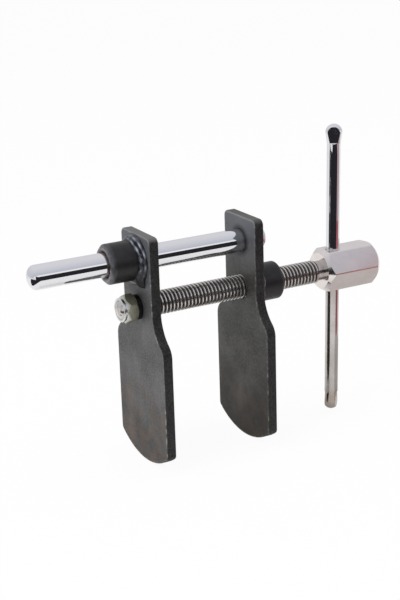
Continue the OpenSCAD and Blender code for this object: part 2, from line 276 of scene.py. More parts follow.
def capped(grid, poles):
    """Points, quads and triangles of a grid whose columns close and whose first and last rows are closed by
    fans to two poles."""
    rows, columns = grid.shape[:2]
    ring = np.arange(columns)
    beside = np.roll(ring, -1)
    tail = (rows - 1) * columns
    first = rows * columns
    fans = np.concatenate([np.stack([np.full(columns, first), beside, ring], -1),
                           np.stack([np.full(columns, first + 1), tail + ring, tail + beside], -1)])
    return np.concatenate([grid.reshape(-1, 3), poles]), grid_faces(rows, columns), fans


def shell(points, quads, tris=None, normals=None, values=None):
    """One closed surface with its faces turned outwards: a negative volume under it reverses them."""
    points = np.asarray(points, float)
    tris = np.zeros((0, 3), int) if tris is None else tris
    every = np.concatenate([quads[:, [0, 1, 2]], quads[:, [0, 2, 3]], tris])
    a, b, c = points[every[:, 0]], points[every[:, 1]], points[every[:, 2]]
    if np.einsum("ij,ij->i", a, np.cross(b, c)).sum() < 0:
        quads, tris = quads[:, ::-1], tris[:, ::-1]
    return {"points": points, "quads": quads, "tris": tris, "normals": normals, "values": values or {}}


def put_piece(name, shells, body, nodes, material, sharp=None):
    """Joins shells into one mesh object at the origin that rides on a body and stands for CAD nodes.
    Shells that carry normals keep them; with an angle in sharp, edges beyond it are creased instead."""
    starts = np.cumsum([0] + [len(s["points"]) for s in shells])
    points = np.concatenate([s["points"] for s in shells])
    quads = np.concatenate([s["quads"] + o for s, o in zip(shells, starts)])
    tris = np.concatenate([s["tris"] + o for s, o in zip(shells, starts)])
    corners = np.concatenate([quads.ravel(), tris.ravel()])
    counts = np.concatenate([np.full(len(quads), 4), np.full(len(tris), 3)])
    mesh = bpy.data.meshes.new(name)
    mesh.vertices.add(len(points))
    mesh.vertices.foreach_set("co", points.ravel().astype(np.float32))
    mesh.loops.add(len(corners))
    mesh.loops.foreach_set("vertex_index", corners.astype(np.int32))
    mesh.polygons.add(len(counts))
    mesh.polygons.foreach_set("loop_start", np.concatenate([[0], np.cumsum(counts)[:-1]]).astype(np.int32))
    mesh.polygons.foreach_set("use_smooth", np.ones(len(counts), bool))
    mesh.update(calc_edges=True)
    for key in sorted({k for s in shells for k in s["values"]}):
        values = np.concatenate([s["values"].get(key, np.zeros(len(s["points"]))) for s in shells])
        mesh.attributes.new(key, "FLOAT", "POINT").data.foreach_set("value", values.astype(np.float32))
    if mesh.validate():
        raise RuntimeError(name + " has faces that Blender had to mend")
    if sharp is not None:
        mesh.set_sharp_from_angle(angle=sharp)
    elif all(s["normals"] is not None for s in shells):
        normals = np.concatenate([s["normals"] for s in shells])
        mesh.normals_split_custom_set_from_vertices(normals.tolist())
    piece = bpy.data.objects.new(name, mesh)
    bpy.context.scene.collection.objects.link(piece)
    mesh.materials.append(material)
    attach(piece, body)
    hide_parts(*nodes)
    return piece


def rounded_profile(corners, closed, steps):
    """A polyline of (x, r, fillet) corners with each corner replaced by an arc tangent to both sides.
    Gives the points and the normals on the left of the path, which is the outside of the piece."""
    path = np.array([c[:2] for c in corners], float)
    points, normals = [], []
    count = len(corners)
    for i, (x, r, fillet) in enumerate(corners):
        if not closed and i in (0, count - 1):
            ends = path[[i, i + 1]] if i == 0 else path[[i - 1, i]]
            turn = atan2(*(ends[1] - ends[0])[::-1])
            points.append([[x, r]])
            normals.append([[-sin(turn), cos(turn)]])
            continue
        before, after = path[i] - path[i - 1], path[(i + 1) % count] - path[i]
        start, end = atan2(before[1], before[0]), atan2(after[1], after[0])
        swing = (end - start + pi) % (2 * pi) - pi
        turns = start + swing * (np.linspace(0, 1, steps + 1) if fillet else np.array([0.5]))
        left = np.stack([-np.sin(turns), np.cos(turns)], -1)
        side = np.sign(swing)
        reach = fillet * tan(abs(swing) / 2)
        middle = path[i] - before / hypot(*before) * reach + side * fillet * left[0]
        points.append(middle - side * fillet * left)
        normals.append(left)
    return np.concatenate(points), np.concatenate(normals)


def turned_shell(corners, axis_z, closed, segments=128, steps=6, values=None):
    """A profile of (x, r, fillet) corners turned about the X-parallel line at height axis_z: the point at the
    angle a is (x, r cos a, axis_z + r sin a). An open profile starts and ends on the axis."""
    points, normals = rounded_profile(corners, closed, steps)
    around = circle_of(segments)
    body, body_n = (points, normals) if closed else (points[1:-1], normals[1:-1])
    grid = about_x(body[:, :1], body[:, 1:], around, axis_z)
    turned = about_x(body_n[:, :1], body_n[:, 1:], around, 0).reshape(-1, 3)
    marks = {k: np.repeat(f(body[:, 0], body[:, 1]), segments) for k, f in (values or {}).items()}
    if closed:
        return shell(grid.reshape(-1, 3), grid_faces(len(body), segments, True), None, turned, marks)
    made = capped(grid, [[points[0, 0], 0, axis_z], [points[-1, 0], 0, axis_z]])
    ends = [[-1.0, 0, 0], [1.0, 0, 0]]
    marks = {k: np.concatenate([v, [0, 0]]) for k, v in marks.items()}
    return shell(*made, np.concatenate([turned, ends]), marks)


def wire(tree, made, inputs):
    """Sets each named or numbered input of a shader node to a value, or links it to an output. In a MapRange
    0 is the value, 1 and 2 are the range that it comes from, and 3 and 4 the range that it goes to."""
    for key, value in inputs.items():
        if isinstance(value, bpy.types.NodeSocket):
            tree.links.new(value, made.inputs[key])
        else:
            made.inputs[key].default_value = value


def node(tree, kind, inputs, out=0, **fields):
    """Adds a shader node with its fields and inputs, and gives one of its outputs."""
    made = tree.nodes.new("ShaderNode" + kind)
    for field, value in fields.items():
        setattr(made, field, value)
    wire(tree, made, inputs)
    return made.outputs[out]


def toned(value, gain=1.0):
    """A colour made lighter or darker by a gain, with full alpha."""
    return (*(min(c * gain, 1.0) for c in tuple(value)[:3]), 1.0)


def new_material(name):
    """An empty node material, with its tree and its principled shader."""
    material = bpy.data.materials.new(name)
    material.use_nodes = True
    return material, material.node_tree, material.node_tree.nodes["Principled BSDF"]


def mottle(tree, size, detail=3.0, stretch=(1, 1, 1)):
    """Mottling on Object coordinates with blotches about size metres wide, which stretch draws out along the
    axes."""
    roughness = 0.6
    place = node(tree, "TexCoord", {}, "Object")
    drawn = node(tree, "Mapping", {"Vector": place, "Scale": tuple(1 / s for s in stretch)})
    return node(tree, "TexNoise", {"Vector": drawn, "Scale": 1 / size, "Detail": detail,
                                   "Roughness": roughness}, "Fac")


def layers(tree, ground, *over):
    """Lays colours over a ground colour, each by its own amount."""
    for amount, top in over:
        ground = node(tree, "Mix", {0: amount, 6: ground, 7: top}, 2, data_type="RGBA")
    return ground


def phosphated_plate(name, face, bloom, temper, bottom_darkening):
    """Blanked mild steel, zinc-phosphated and oiled: matt grey with a fine crystal grain, cloudy patches and
    upright streaks, a cut edge painted dark as shade with painted light along its top, a line where face and
    edge meet that is partly rubbed steel and partly painted highlight, with a painted glint near the top, a
    thin brown bloom low down, darker and warmer towards the bottom, paler and bluer up the neck, a painted
    shadow ring round the rod and a blue heat tint round the weld. The crystals are drawn coarser than they
    are, so that they show."""
    s = settings().plate
    material, tree, surface = new_material(name)
    clouds = mottle(tree, 16 * MM, 5.0)
    grain = mottle(tree, 0.9 * MM, 3.0)
    streaks = mottle(tree, 1.4 * MM, 3.0, (1, 1, 14))
    scuffs = mottle(tree, 0.6 * MM, 2.0, (1, 12, 1))
    patches = mottle(tree, 9 * MM, 6.0)
    chips = mottle(tree, 2.4 * MM, 5.0)
    place = node(tree, "TexCoord", {}, "Object")
    height = node(tree, "SeparateXYZ", {0: place}, "Z")
    from_rod = node(tree, "Mapping", {"Vector": place, "Location": (0, 0, -ROD_Z), "Scale": (0, 1, 1)})
    away = node(tree, "VectorMath", {0: from_rod}, "Value", operation="LENGTH")
    top, fewest, most = HIGH["fixed_plate"][2], 0.04 + 0.1 * bloom, 0.3 + bloom
    low_down = node(tree, "MapRange", {0: height, 1: 22 * MM, 2: -14 * MM})
    # Darker and warmer towards the bottom.
    towards_bottom = node(tree, "MapRange", {0: height, 1: 8 * MM, 2: -18 * MM, 4: bottom_darkening})
    # Paler and bluer towards the top of the necks.
    upper = node(tree, "MapRange", {0: height, 1: top - 29 * MM, 2: top - 5 * MM, 4: 0.85})
    # Painted light along the top of the cut edge, which faces the light above.
    top_edge_light = node(tree, "MapRange", {0: height, 1: top - 2 * MM, 2: top - 0.5 * MM})
    bloomed = node(tree, "MapRange", {0: patches, 1: 0.42, 2: 0.7, 4: bloom})
    heated = node(tree, "MapRange", {0: away, 1: 19 * MM, 2: 12 * MM, 4: temper})
    # A painted shadow ring on the plate round the rod.
    rod_shadow_ring = node(tree, "MapRange", {0: away, 1: 9 * MM, 2: 6.5 * MM, 4: 0.85})
    chipped = node(tree, "MapRange", {0: chips, 1: 0.5, 2: 0.62, 3: fewest, 4: most})
    # A painted glint that makes the edge's line brighter near the top.
    rubbed = node(tree, "MapRange", {0: height, 1: top - 4 * MM, 2: top - MM, 4: 0.6})
    wear_and_top_glint = node(tree, "Math", {0: chipped, 1: rubbed}, operation="MAXIMUM")
    worn = node(tree, "Attribute", {}, "Fac", attribute_name="worn")
    # The cut edge: painted shade with a lighter grain, and painted light along its top.
    edge = layers(tree, toned(s.wall, 0.3),
                  (node(tree, "MapRange", {0: grain, 1: 0.4, 2: 0.62}), toned(s.wall, 1.9)),
                  (top_edge_light, toned(face, 1.6)))
    base = layers(tree, toned(face, 0.66),
                  (node(tree, "MapRange", {0: clouds, 1: 0.34, 2: 0.66}), toned(face, 1.2)),
                  (node(tree, "MapRange", {0: streaks, 1: 0.42, 2: 0.7, 4: 0.55}), toned(face, 0.55)),
                  (node(tree, "MapRange", {0: grain, 1: 0.42, 2: 0.68, 4: 0.75}), toned(face, 2.0)),
                  (node(tree, "MapRange", {0: scuffs, 1: 0.66, 2: 0.72, 4: 0.5}), toned(face, 1.9)),
                  (towards_bottom, toned(s.bottom_darkening)),
                  (heated, toned(s.temper)),
                  (upper, toned(s.paler_top)),
                  (rod_shadow_ring, toned(s.wall, 0.6)),
                  (node(tree, "Math", {0: bloomed, 1: low_down}, operation="MULTIPLY"), toned(s.rust)),
                  (node(tree, "Attribute", {}, "Fac", attribute_name="wall"), edge),
                  (node(tree, "Math", {0: worn, 1: wear_and_top_glint}, operation="MULTIPLY"), toned(s.worn)))
    wire(tree, surface, {
        "Base Color": base, "Metallic": 0.25,
        "Roughness": node(tree, "MapRange", {0: clouds, 1: 0.3, 2: 0.7, 3: 0.62, 4: 0.46}),
        "Normal": node(tree, "Bump", {"Height": grain, "Distance": 0.05 * MM, "Strength": 0.6})})
    return material


def blackened_steel():
    """Free-cutting steel, turned and hot-blackened: satin black with faint tool rings, rubbed to a blue-grey
    sheen on the chamfers, with a painted highlight ring round the collar's bore, and browned at the bore's
    mouth. The rings are drawn coarser than they are."""
    s = settings().turned
    material, tree, surface = new_material("blackened turned steel")
    clouds = mottle(tree, 5 * MM, 4.0)
    rings = mottle(tree, 0.5 * MM, 2.0, (1, 40, 40))
    wear = node(tree, "MapRange", {0: mottle(tree, 2.2 * MM), 1: 0.3, 2: 0.6, 3: 0.5, 4: 1.0})
    # The rubbed mark: rubbed oxide, and on the collar a painted highlight ring round the bore.
    rubbed = node(tree, "Attribute", {}, "Fac", attribute_name="rubbed")
    rubbed = node(tree, "Math", {0: rubbed, 1: wear}, operation="MULTIPLY")
    film = node(tree, "MapRange", {0: clouds, 1: 0.35, 2: 0.6, 3: 0.35, 4: 0.9})
    mouth = node(tree, "Attribute", {}, "Fac", attribute_name="mouth")
    base = layers(tree, toned(s.black, 0.85),
                  (node(tree, "MapRange", {0: clouds, 1: 0.3, 2: 0.72}), toned(s.black, 1.2)),
                  (rubbed, toned(s.rubbed)),
                  (node(tree, "Math", {0: mouth, 1: film}, operation="MULTIPLY"), toned(s.browned)))
    wire(tree, surface, {
        "Base Color": base, "Metallic": 0.7,
        "Roughness": node(tree, "MapRange", {0: rubbed, 3: 0.42, 4: 0.24}),
        "Normal": node(tree, "Bump", {"Height": rings, "Distance": 0.008 * MM, "Strength": 0.5})})
    return material


def weld_metal():
    """Arc-welded bead, brushed and blackened with the part: glossy blue-grey humps with dark toes, painted
    shade in the slit and on the downward side at the drip, and painted highlights along the ridges.
    """
    s = settings().turned
    material, tree, surface = new_material("blackened weld bead")
    clouds = mottle(tree, 2.8 * MM, 4.0)
    pits = mottle(tree, 0.9 * MM, 2.0)
    # Darker toes, and painted shade in the slit and on the bead's downward side at the drip.
    dark_toes_and_shade = node(tree, "Attribute", {}, "Fac", attribute_name="toe")
    base = layers(tree, toned(s.bead, 0.35),
                  (node(tree, "MapRange", {0: clouds, 1: 0.34, 2: 0.62}), toned(s.bead, 1.1)),
                  (dark_toes_and_shade, toned(s.black, 0.7)),
                  (node(tree, "Attribute", {}, "Fac", attribute_name="gleam"), toned(s.gleam)))
    wire(tree, surface, {
        "Base Color": base, "Metallic": 0.85,
        "Roughness": node(tree, "MapRange", {0: clouds, 1: 0.3, 2: 0.7, 3: 0.38, 4: 0.22}),
        "Normal": node(tree, "Bump", {"Height": pits, "Distance": 0.05 * MM, "Strength": 0.5})})
    return material


def chrome_plate():
    """Ground steel bar with bright chrome plate: a clear mirror with a trace of haze and grinding waves,
    dulled on the bar's lower half and painted darker there as shade, and filmed with brown at its lowest end."""
    s = settings().turned
    material, tree, surface = new_material("polished chrome plate")
    haze = mottle(tree, 9 * MM, 4.0)
    waves = mottle(tree, 0.8 * MM, 2.0)
    # The bar's lower half: duller, and painted darker as shade.
    dull = node(tree, "Attribute", {}, "Fac", attribute_name="dull")
    film = node(tree, "MapRange", {0: haze, 1: 0.3, 2: 0.6, 3: 0.7, 4: 1.0})
    dull_and_shaded = node(tree, "Math", {0: dull, 1: film}, operation="MULTIPLY")
    clear = node(tree, "MapRange", {0: haze, 1: 0.3, 2: 0.75, 3: 0.03, 4: 0.07})
    soiled = node(tree, "Attribute", {}, "Fac", attribute_name="soiled")
    base = layers(tree, toned(s.chrome), (dull_and_shaded, toned(s.shaded_chrome)), (soiled, toned(s.soiled)))
    wire(tree, surface, {
        "Base Color": base, "Metallic": 1.0,
        "Roughness": node(tree, "MapRange", {0: dull_and_shaded, 3: clear, 4: 0.13}),
        "Normal": node(tree, "Bump", {"Height": waves, "Distance": 0.001 * MM, "Strength": 0.5})})
    return material


def threaded_steel():
    """Thread-rolled steel with a film of oil: burnished crests, dark grease in the roots."""
    s = settings().screw
    material, tree, surface = new_material("rolled and oiled steel")
    clouds = mottle(tree, 4 * MM, 4.0)
    film = node(tree, "MapRange", {0: clouds, 1: 0.25, 2: 0.6, 3: 0.85, 4: 1.0})
    root = node(tree, "Attribute", {}, "Fac", attribute_name="root")
    dirt = node(tree, "Math", {0: root, 1: film}, operation="MULTIPLY")
    base = layers(tree, toned(s.crest, 0.85),
                  (node(tree, "MapRange", {0: clouds, 1: 0.35, 2: 0.7}), toned(s.crest, 1.1)),
                  (dirt, toned(s.root)))
    wire(tree, surface, {
        "Base Color": base,
        "Metallic": node(tree, "MapRange", {0: dirt, 3: 1.0, 4: 0.35}),
        "Roughness": node(tree, "MapRange", {0: dirt, 3: 0.24, 4: 0.5}),
        "Normal": node(tree, "Bump", {"Height": mottle(tree, 0.6 * MM, 2.0), "Distance": 0.006 * MM,
                                      "Strength": 0.4})})
    return material


def zinc_plate():
    """Zinc-plated nut steel: bright on the rolled rim and the chamfers, dull olive on the hexagon's flats."""
    s = settings().screw
    material, tree, surface = new_material("passivated zinc plate")
    clouds = mottle(tree, 2.6 * MM, 4.0)
    bright = node(tree, "Attribute", {}, "Fac", attribute_name="bright")
    base = layers(tree, toned(s.zinc, 0.65),
                  (node(tree, "MapRange", {0: clouds, 1: 0.3, 2: 0.7}), toned(s.zinc, 1.15)),
                  (bright, toned(s.rim)))
    wire(tree, surface, {
        "Base Color": base, "Metallic": node(tree, "MapRange", {0: bright, 3: 0.55, 4: 1.0}),
        "Roughness": node(tree, "MapRange", {0: bright, 3: 0.36, 4: 0.3}),
        "Normal": node(tree, "Bump", {"Height": mottle(tree, 0.7 * MM, 2.0), "Distance": 0.008 * MM,
                                      "Strength": 0.5})})
    return material


def black_washer():
    """Pressed steel washer with black oxide: dark and soft, a little rubbed."""
    s = settings().screw
    material, tree, surface = new_material("black oxide washer")
    clouds = mottle(tree, 2 * MM)
    rubbed = node(tree, "MapRange", {0: clouds, 1: 0.35, 2: 0.75})
    wire(tree, surface, {
        "Base Color": layers(tree, toned(s.washer, 0.7), (rubbed, toned(s.washer, 2.0))), "Metallic": 0.6,
        "Roughness": node(tree, "MapRange", {0: clouds, 1: 0.3, 2: 0.7, 3: 0.42, 4: 0.6})})
    return material


def natural_nylon():
    """Moulded nylon ring: milky grey, a little greasy from the thread."""
    s = settings().screw
    material, tree, surface = new_material("natural nylon")
    clouds = mottle(tree, 1.5 * MM)
    grease = node(tree, "MapRange", {0: clouds, 1: 0.3, 2: 0.75})
    wire(tree, surface, {
        "Base Color": layers(tree, toned(s.nylon, 0.5), (grease, toned(s.nylon))), "IOR": 1.53,
        "Roughness": node(tree, "MapRange", {0: clouds, 1: 0.3, 2: 0.7, 3: 0.3, 4: 0.45})})
    return material


def satin_nickel():
    """Drawn hexagon steel with nickel plate: satin on the drawn flats, with faint lines along them that are
    drawn coarser than they are, and brighter on the turned ends."""
    s = settings().drive
    material, tree, surface = new_material("satin nickel on drawn steel")
    lines = mottle(tree, 0.6 * MM, 2.0, (60, 1, 1))
    clouds = mottle(tree, 7 * MM, 4.0)
    flat = node(tree, "MapRange", {0: clouds, 1: 0.3, 2: 0.7, 3: 0.2, 4: 0.27})
    ends = node(tree, "Attribute", {}, "Fac", attribute_name="turned")
    base = layers(tree, toned(s.nickel, 0.94),
                  (node(tree, "MapRange", {0: clouds, 1: 0.3, 2: 0.72}), toned(s.nickel, 1.05)))
    wire(tree, surface, {
        "Base Color": base, "Metallic": 1.0,
        "Roughness": node(tree, "MapRange", {0: ends, 3: flat, 4: 0.12}),
        "Normal": node(tree, "Bump", {"Height": lines, "Distance": 0.002 * MM, "Strength": 0.4})})
    return material


def arc(centre, radius, start, end, outward=1):
    """Points and outward normals of an arc about a centre from one angle to another, in radians."""
    widest, fine_radius, fewest = 0.07, 4 * MM, 3
    step = widest / max(1.0, radius / fine_radius)
    angles = np.linspace(start, end, max(fewest, int(abs(end - start) / step)) + 1)
    ray = np.stack([np.cos(angles), np.sin(angles)], -1)
    return np.array(centre) + radius * ray, outward * ray


def plate_outline():
    """The plate's outline in (y, z), clockwise from the top, with outward normals: straight sides joined by
    tangent arcs, the hollow and the shoulder sharing one tangent, the bottom a wide arc with rounded corners.
    """
    s = settings().plate
    half, neck = half_across("fixed_plate", 1), s.neck_width / 2
    reach = s.hollow_radius + s.shoulder_radius
    bend = acos(1 - (half - neck) / reach)
    pad_top = s.pad_height / 2
    neck_base = pad_top + reach * sin(bend)
    top = neck_base + s.neck_height
    rim = s.corner_radius
    bottom_z = sqrt(s.bottom_radius ** 2 - half ** 2) - pad_top
    drop = sqrt((s.bottom_radius - rim) ** 2 - (half - rim) ** 2)
    lean = atan2(drop, half - rim)
    runs = [arc((neck - rim, top - rim), rim, pi / 2, 0),
            arc((neck + s.hollow_radius, neck_base), s.hollow_radius, pi, pi + bend, -1),
            arc((half - s.shoulder_radius, pad_top), s.shoulder_radius, bend, 0),
            arc((half - rim, bottom_z - drop), rim, 0, -lean),
            arc((0, bottom_z), s.bottom_radius, -lean, -pi / 2)]
    points, normals = (np.concatenate([r[k] for r in runs]) for k in (0, 1))
    doubled = 1e-7
    keep = np.concatenate([[True], np.hypot(*np.diff(points, axis=0).T) > doubled])
    points, normals = points[keep], normals[keep]
    flip = np.array([-1, 1])
    return np.concatenate([points, points[-2::-1] * flip]), np.concatenate([normals, normals[-2::-1] * flip])


def plate_edge(x_low, x_high):
    """The plate's edge as a grid: the outline carried over a quarter circle from each face to the wall, each
    point moved in along its own normal. Gives points, normals, and the marks of its rows for the edge's line,
    which is partly wear and partly painted highlight, and for the wall, which is painted dark as shade."""
    s = settings().plate
    outline, out = plate_outline()
    bend, beside = np.linspace(0, pi / 2, 6), 0.25 * MM
    border = [s.wear_width, s.edge_radius + beside]
    inset = np.concatenate([border, s.edge_radius * (1 - np.sin(bend))])
    depth = np.concatenate([[0, 0], s.edge_radius * (1 - np.cos(bend))])
    tilt = np.concatenate([[0, 0], bend])
    inset = np.concatenate([inset, inset[::-1]])
    x = np.concatenate([x_low + depth, x_high - depth[::-1]])
    face_part = np.concatenate([-np.cos(tilt), np.cos(tilt[::-1])])
    edge_part = np.concatenate([np.sin(tilt), np.sin(tilt[::-1])])
    flat = outline[None] - inset[:, None, None] * out[None]
    column = flat.shape[:2] + (1,)
    points = np.concatenate([np.broadcast_to(x[:, None, None], column), flat], -1)
    normals = np.concatenate([np.broadcast_to(face_part[:, None, None], column),
                              edge_part[:, None, None] * out[None]], -1)
    worn = np.array([0, 0.25, 1, 0.9, 0.6, 0.3, 0.1, 0])
    wall = np.array([0, 0, 0, 0.1, 0.4, 0.75, 0.95, 1])
    return points, normals, np.concatenate([worn, worn[::-1]]), np.concatenate([wall, wall[::-1]])


def plate_shell(x_low, x_high, holes):
    """A plate: its rounded edge, with flat faces filled between the edge and the holes' chamfered rings."""
    chamfer = settings().plate.hole_chamfer
    segments = 96
    edge, edge_n, worn, wall = plate_edge(x_low, x_high)
    rows, columns = edge.shape[:2]
    points, normals, quads = [edge.reshape(-1, 3)], [edge_n.reshape(-1, 3)], [grid_faces(rows, columns)]
    loops = [[np.arange(columns)], [(rows - 1) * columns + np.arange(columns)]]
    start = rows * columns
    around = circle_of(segments)
    for centre_z, radius in holes:
        mouth = radius + chamfer
        r = np.array([mouth, radius, radius, radius, radius, mouth])[:, None]
        x = np.array([x_low, x_low + chamfer, x_low + 2 * chamfer,
                      x_high - 2 * chamfer, x_high - chamfer, x_high])[:, None]
        ring = about_x(x, r, around, centre_z)
        inward = about_x(0 * x, -1.0, around, 0)
        inward[0], inward[-1] = (-1, 0, 0), (1, 0, 0)
        points.append(ring.reshape(-1, 3))
        normals.append(inward.reshape(-1, 3))
        quads.append(grid_faces(len(r), segments) + start)
        loops[0].append(start + np.arange(segments))
        loops[1].append(start + (len(r) - 1) * segments + np.arange(segments))
        start += len(r) * segments
    points, normals, quads = np.concatenate(points), np.concatenate(normals), np.concatenate(quads)
    a, b, c = points[quads[:, 0]], points[quads[:, 1]], points[quads[:, 2]]
    against = np.einsum("ij,ij->i", np.cross(b - a, c - a), normals[quads[:, 0]] + normals[quads[:, 2]]) < 0
    quads[against] = quads[against][:, ::-1]
    tris = []
    for side, sign in zip(loops, (-1, 1)):
        flat = [[(p[1], p[2], 0) for p in points[loop]] for loop in side]
        cut = np.concatenate(side)[np.array(tessellate_polygon(flat))]
        a, b, c = points[cut[:, 0]], points[cut[:, 1]], points[cut[:, 2]]
        against = np.cross(b - a, c - a)[:, 0] * sign < 0
        cut[against] = cut[against][:, ::-1]
        tris.append(cut)
    bare = np.zeros(len(points) - rows * columns)
    marks = {"worn": np.concatenate([np.repeat(worn, columns), bare]),
             "wall": np.concatenate([np.repeat(wall, columns), bare])}
    return shell(points, quads, np.concatenate(tris), normals, marks)


class PISTON_OT_plates(Operator):
    """Makes the two pressing plates with rounded edges, rubbed and painted with highlights, and drilled holes
    """
    bl_idname = "piston_tool.plates"
    bl_label = "Pressing plates"

    def execute(self, context):
        s = settings()
        gap = s.plate.hole_gap
        rod, screw = half_across("guide_rod"), half_across("lead_screw")
        journal = s.screw.journal_diameter / 2 + s.turned.run_gap
        # One steel for both plates, with the fixed plate painted darker as shade.
        fixed = phosphated_plate("phosphated steel, painted shade", s.plate.fixed_face_shaded,
                                 bloom=0.3, temper=0.0, bottom_darkening=0.85)
        sliding = phosphated_plate("phosphated steel, lit", s.plate.sliding_face_lit,
                                   bloom=0.65, temper=0.75, bottom_darkening=0.5)
        for name, body, cad, slot, material, holes in (
                ("pressing_plate_fixed", "fixed_jaw", "fixed_plate", "plate_phosphate_dark", fixed,
                 [(ROD_Z, rod), (SCREW_Z, screw + gap)]),
                ("pressing_plate_sliding", "sliding_jaw", "sliding_plate", "plate_phosphate_light", sliding,
                 [(ROD_Z, rod + gap), (SCREW_Z, journal)])):
            made = plate_shell(LOW[cad][0], HIGH[cad][0], holes)
            put_piece(name, [made], body, [cad], material)
        return {"FINISHED"}


def near(value, goal, width):
    """One at the goal, falling in a straight line to zero at the width away from it."""
    return np.clip(1 - np.abs(value - goal) / width, 0, 1)


class PISTON_OT_turned(Operator):
    """Makes the blackened collar and boss and the chrome guide rod"""
    bl_idname = "piston_tool.turned"
    bl_label = "Collar, boss and rod"

    def execute(self, context):
        black = blackened_steel()
        for name, made, body, cad in (
                ("collar_tube", self.collar_shell(), "sliding_jaw", "guide_collar"),
                ("boss_tube", self.boss_shell(), "fixed_jaw", "threaded_boss")):
            put_piece(name, [made], body, [cad], black)
        put_piece("rod_chrome", [self.rod_shell()], "fixed_jaw", ["guide_rod"],
                  chrome_plate())
        return {"FINISHED"}

    def collar_shell(self):
        """The collar's profile turned about the rod's axis. It is marked as rubbed round its free end, most
        of all round the bore, where the mark is a painted highlight ring, and as browned at the bore's mouth."""
        s = settings().turned
        x0, x1 = ends_of("guide_collar")
        outer, bore = half_across("guide_collar"), half_across("guide_rod") + s.run_gap
        mouth, edge = s.collar_mouth, s.collar_chamfer
        face_round, side_round, faint = 0.7 * MM, 0.8 * MM, 0.35
        collar = [(x0 + mouth, bore, BREAK_EDGE), (x0, bore + mouth, BREAK_EDGE),
                  (x0, outer - edge, face_round), (x0 + edge, outer, side_round), (x0 + 2 * edge, outer, 0),
                  (x1, outer, BREAK_EDGE), (x1, bore, BREAK_EDGE), (x0 + 2 * mouth, bore, 0)]

        # Faintly rubbed over the free end, strongest in a painted highlight ring round the bore.
        def rubbed(x, r):
            ring = faint + (1 - faint) * near(r, bore + 1.5 * mouth, edge)
            return near(x, x0, 2 * edge) * ring * (r > bore + 0.5 * mouth)

        def browned(x, r):
            return near(x, x0, 1.5 * mouth) * (r < bore + 1.2 * mouth)

        return turned_shell(collar, ROD_Z, True, values={"rubbed": rubbed, "mouth": browned})

    def boss_shell(self):
        """The boss's profile turned about the screw's axis, marked as rubbed faintly along the chamfer of
        its free end and as browned at the bore's mouth."""
        s = settings().turned
        x0, x1 = ends_of("threaded_boss")
        outer, bore = half_across("threaded_boss"), half_across("lead_screw") + s.run_gap
        edge, side_round, face_round, faint = s.boss_chamfer, 0.3 * MM, 0.2 * MM, 0.3
        boss = [(x0, bore, BREAK_EDGE), (x0, outer, BREAK_EDGE), (x1 - 3 * edge, outer, 0),
                (x1 - edge, outer, side_round), (x1, outer - edge, face_round), (x1, bore + edge, BREAK_EDGE),
                (x1 - edge, bore, BREAK_EDGE), (x1 - 3 * edge, bore, 0)]

        def rubbed(x, r):
            return faint * near(x, x1 - edge / 2, 1.2 * edge) * (r > bore + edge)

        def browned(x, r):
            return near(x, x1, MM) * (r < bore + edge)

        return turned_shell(boss, SCREW_Z, True, values={"rubbed": rubbed, "mouth": browned})

    def rod_shell(self):
        """The rod with a dome at each end and a rounding tangent to dome and side. Where dome and rounding
        meet, the sine of the lean is (side radius - rounding) / (dome radius - rounding)."""
        s = settings().turned
        x0, x1 = ends_of("guide_rod")
        radius, end, dome = half_across("guide_rod"), s.rod_end_radius, s.rod_dome
        lean = asin((radius - end) / (dome - end))
        crown = dome * tan(lean / 2)
        edge = (radius - crown) * tan(lean)
        drawn = DOME_SHARE * dome
        rod = [(x0, 0, 0), (x0, crown, drawn), (x0 + edge, radius, end), (x1 - edge, radius, end),
               (x1, crown, drawn), (x1, 0, 0)]
        return turned_shell(rod, ROD_Z, False, segments=160, steps=14)


def hump(around, place, spread):
    """A bell curve round the circle: exp of minus the squared angle from a place over a spread."""
    return np.exp(-(((around - place + pi) % (2 * pi) - pi) / spread) ** 2)


